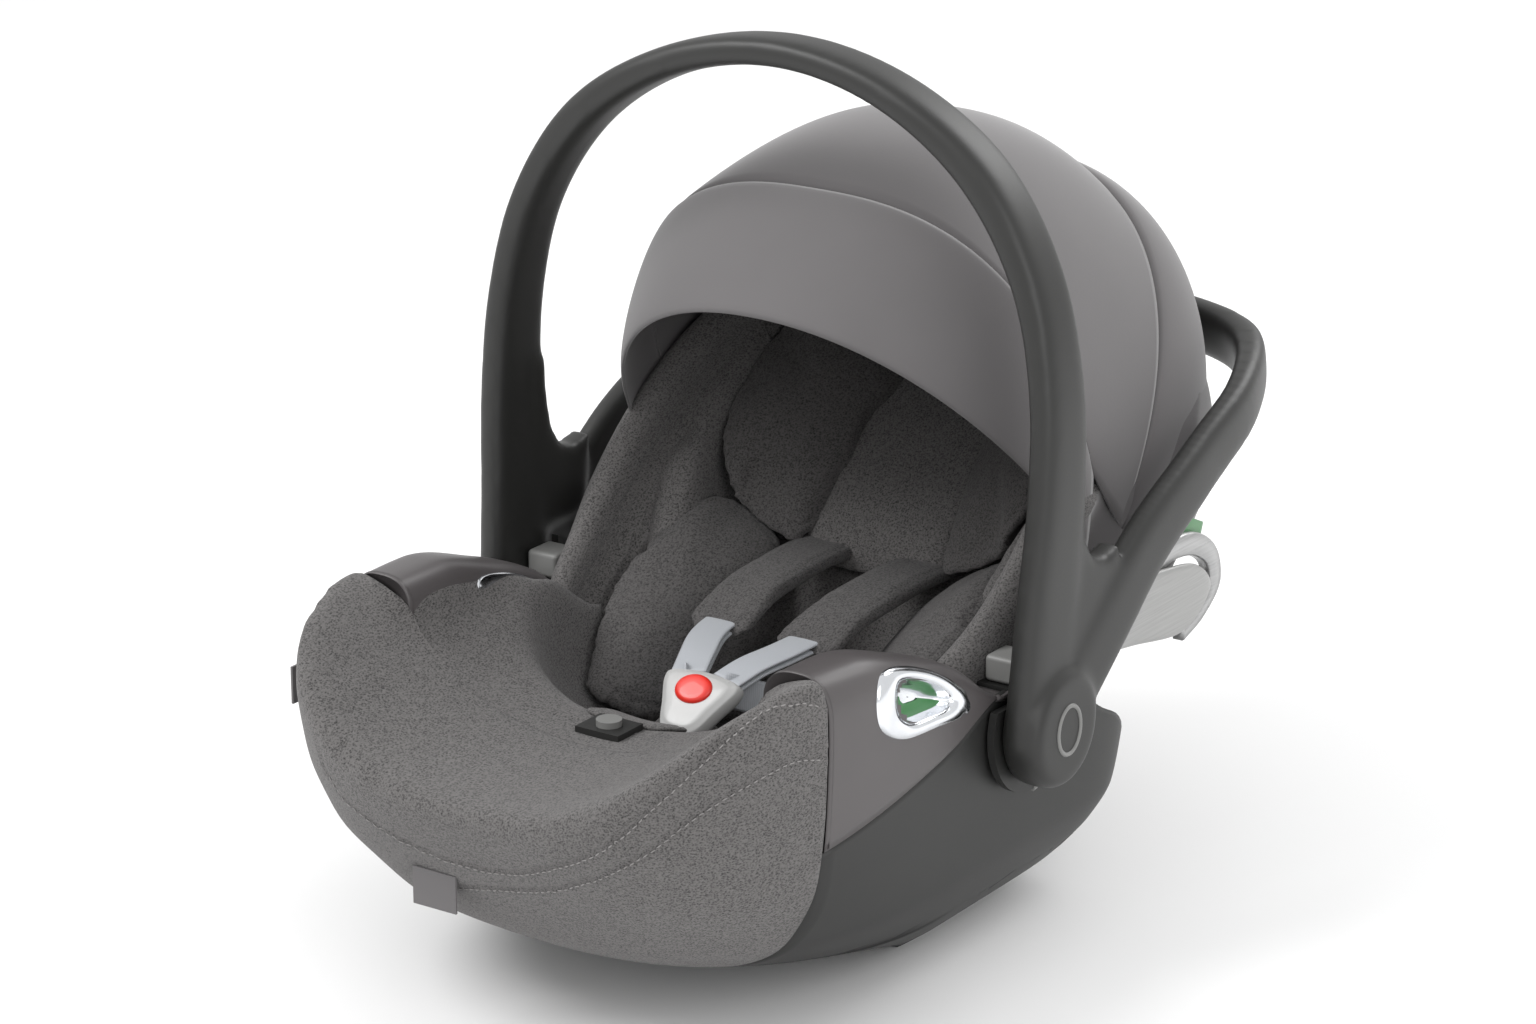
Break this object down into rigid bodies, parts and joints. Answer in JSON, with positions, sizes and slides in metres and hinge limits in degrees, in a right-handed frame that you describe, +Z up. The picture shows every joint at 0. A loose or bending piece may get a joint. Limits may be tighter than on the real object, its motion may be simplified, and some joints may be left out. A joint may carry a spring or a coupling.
{
  "type": "infant car seat",
  "caption": "Rocker-bottomed infant carrier with a Y-shaped handle, folding three-lobe canopy, harness and side-impact flaps.",
  "frame": {"origin": "middle of the floor under the overall box", "axes": "+Z up; the seat faces -Y and its length runs along Y; X is across it"},
  "size_m": [0.437, 0.6983, 0.5585],
  "materials": {
    "shell_plastic": "charcoal moulded plastic, fine texture",
    "handle_plastic": "charcoal moulded plastic, satin",
    "trim_plastic": "warm grey satin plastic",
    "light_plastic": "light grey plastic",
    "steel": "zinc plated steel",
    "silver_trim": "satin silver",
    "flap_metal": "brushed light grey",
    "green_mark": "green belt path mark",
    "dark_plastic": "dark plastic",
    "foam": "moulded foam liner",
    "melange_fabric": "grey melange weave",
    "dark_melange": "dark grey melange weave",
    "canopy_fabric": "smooth mid grey fabric",
    "webbing": "silver grey webbing",
    "buckle_plastic": "light grey plastic",
    "red_button": "red release button"
  },
  "bodies": {
    "base": {"lower_shell": "shell_plastic", "front_cover": "melange_fabric", "front_foam": "foam", "seat_foam": "foam", "seat_cushion": "melange_fabric", "side_trim_left": "trim_plastic", "side_trim_right": "trim_plastic", "belt_guide_left": "silver_trim", "belt_guide_right": "silver_trim", "belt_marks": "green_mark", "hub_bosses": "light_plastic", "hub_pins": "steel", "release_housings": "dark_plastic", "latch_bars": "steel", "crotch_strap": "webbing", "crotch_pad": "melange_fabric", "buckle_housing": "buckle_plastic", "tongues": "steel", "shoulder_strap_left": "webbing", "shoulder_strap_right": "webbing", "shoulder_pad_left": "dark_melange", "shoulder_pad_right": "dark_melange", "lap_straps": "webbing", "adjuster_housing": "steel", "front_tabs": "canopy_fabric"},
    "handle": {"handle": "handle_plastic", "hub_cap_left": "handle_plastic", "hub_cap_right": "handle_plastic"},
    "release_left": {"release_button_left": "light_plastic"},
    "release_right": {"release_button_right": "light_plastic"},
    "buckle_press": {"buckle_button": "red_button"},
    "adjuster_press": {"adjuster_button": "red_button"},
    "backrest": {"back_shell": "trim_plastic", "back_foam": "foam", "back_cushion": "melange_fabric", "bolster_left": "dark_melange", "bolster_right": "dark_melange", "rear_guide_left": "silver_trim", "rear_guide_right": "silver_trim", "rear_marks": "green_mark", "flap_posts": "dark_plastic", "canopy_rear_panel": "canopy_fabric", "canopy_rear_bow": "dark_plastic", "recline_brackets": "steel", "headrest_rails": "steel"},
    "headrest": {"headrest_board": "light_plastic", "headrest_pad": "dark_melange", "headrest_wing_left": "dark_melange", "headrest_wing_right": "dark_melange"},
    "headrest_release": {"headrest_lever": "light_plastic"},
    "canopy_mid": {"canopy_mid_panel": "canopy_fabric", "canopy_mid_bow": "dark_plastic"},
    "canopy_front": {"canopy_front_panel": "canopy_fabric", "canopy_front_bow": "dark_plastic"},
    "flap_left": {"side_flap_left": "flap_metal"},
    "flap_right": {"side_flap_right": "flap_metal"}
  },
  "joints": [
    {"name": "handle_swing", "type": "hinge", "parent": "base", "child": "handle", "pos_m": [0, -0.0158, 0.155], "axis": [-1, 0, 0], "range_deg": [0, 45]},
    {"name": "release_left_press", "type": "slide", "parent": "base", "child": "release_left", "axis": [1, 0, 0], "range_m": [0, 0.003], "stiffness_N_per_m": 400},
    {"name": "release_right_press", "type": "slide", "parent": "base", "child": "release_right", "axis": [-1, 0, 0], "range_m": [0, 0.003], "stiffness_N_per_m": 400},
    {"name": "backrest_recline", "type": "hinge", "parent": "base", "child": "backrest", "pos_m": [0, -0.0158, 0.155], "axis": [-1, 0, 0], "range_deg": [0, 12]},
    {"name": "headrest_slide", "type": "slide", "parent": "backrest", "child": "headrest", "axis": [0, 0.766, 0.6428], "range_m": [0, 0.05]},
    {"name": "headrest_lever_press", "type": "slide", "parent": "headrest", "child": "headrest_release", "axis": [0, -0.766, -0.6428], "range_m": [0, 0.002], "stiffness_N_per_m": 500},
    {"name": "canopy_mid_fold", "type": "hinge", "parent": "backrest", "child": "canopy_mid", "pos_m": [0, 0.0792, 0.262], "axis": [-1, 0, 0], "range_deg": [0, 22]},
    {"name": "canopy_front_fold", "type": "hinge", "parent": "canopy_mid", "child": "canopy_front", "pos_m": [0, 0.0792, 0.262], "axis": [-1, 0, 0], "range_deg": [0, 33]},
    {"name": "flap_left_swing", "type": "hinge", "parent": "backrest", "child": "flap_left", "pos_m": [-0.186, 0.0672, 0.185], "axis": [0, 0, -1], "range_deg": [-28, 0]},
    {"name": "flap_right_swing", "type": "hinge", "parent": "backrest", "child": "flap_right", "pos_m": [0.186, 0.0672, 0.185], "axis": [0, 0, 1], "range_deg": [-28, 0]},
    {"name": "buckle_button_press", "type": "slide", "parent": "base", "child": "buckle_press", "axis": [0, 0.6428, -0.766], "range_m": [0, 0.002], "stiffness_N_per_m": 800},
    {"name": "adjuster_button_press", "type": "slide", "parent": "base", "child": "adjuster_press", "axis": [0, 0, -1], "range_m": [0, 0.0015], "stiffness_N_per_m": 800}
  ],
  "couplings": [
    {"joint": "canopy_front_fold", "follows": "canopy_mid_fold", "ratio": 1.5}
  ]
}
